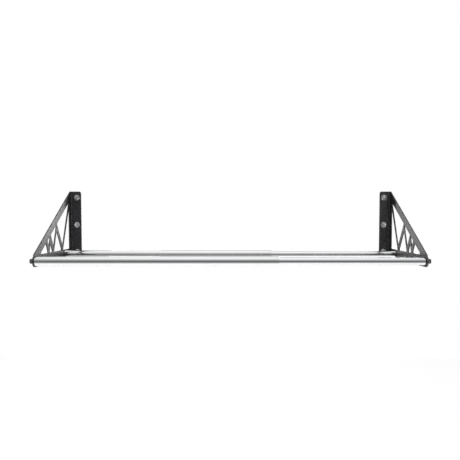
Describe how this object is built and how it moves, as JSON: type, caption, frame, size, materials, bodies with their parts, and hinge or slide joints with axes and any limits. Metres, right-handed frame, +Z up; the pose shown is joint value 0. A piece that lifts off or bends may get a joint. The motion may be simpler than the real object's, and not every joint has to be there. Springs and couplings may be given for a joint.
{
  "type": "pull up bar",
  "caption": "Wall-mounted pull-up station: twin telescoping chrome bars, one ahead of the other, carried by black folded truss brackets with lag screws.",
  "frame": {"origin": "on the wall plane, midway between the two brackets, level with their middle lag screws", "axes": "+X along the bars towards the telescoping right-hand bracket, +Y into the wall, +Z up; the bars stand out from the wall towards -Y"},
  "size_m": [1.2998, 0.4834, 0.2636],
  "materials": {
    "bracket_coat": "black satin powder coat",
    "outer_tube_chrome": "polished chrome plate",
    "inner_tube_chrome": "polished chrome plate",
    "plug_steel": "turned steel",
    "bolt_black": "black oxide",
    "washer_black": "black oxide",
    "lag_screw_zinc": "dull zinc plate",
    "lag_washer_zinc": "dull zinc plate"
  },
  "bodies": {
    "left_side": {"left_bracket": "bracket_coat", "front_outer_tube": "outer_tube_chrome", "rear_outer_tube": "outer_tube_chrome", "front_left_plug": "plug_steel", "front_left_bolt": "bolt_black", "front_left_washer": "washer_black", "rear_left_plug": "plug_steel", "rear_left_bolt": "bolt_black", "rear_left_washer": "washer_black", "left_top_lag_screw": "lag_screw_zinc", "left_middle_lag_screw": "lag_screw_zinc", "left_bottom_lag_screw": "lag_screw_zinc", "left_top_lag_washer": "lag_washer_zinc", "left_middle_lag_washer": "lag_washer_zinc", "left_bottom_lag_washer": "lag_washer_zinc"},
    "right_side": {"right_bracket": "bracket_coat", "front_inner_tube": "inner_tube_chrome", "rear_inner_tube": "inner_tube_chrome", "front_right_plug": "plug_steel", "front_right_bolt": "bolt_black", "front_right_washer": "washer_black", "rear_right_plug": "plug_steel", "rear_right_bolt": "bolt_black", "rear_right_washer": "washer_black", "right_top_lag_screw": "lag_screw_zinc", "right_middle_lag_screw": "lag_screw_zinc", "right_bottom_lag_screw": "lag_screw_zinc", "right_top_lag_washer": "lag_washer_zinc", "right_middle_lag_washer": "lag_washer_zinc", "right_bottom_lag_washer": "lag_washer_zinc"}
  },
  "joints": [
    {"name": "width_slide", "type": "slide", "parent": "left_side", "child": "right_side", "axis": [1, 0, 0], "range_m": [-0.46, 0.12]}
  ]
}
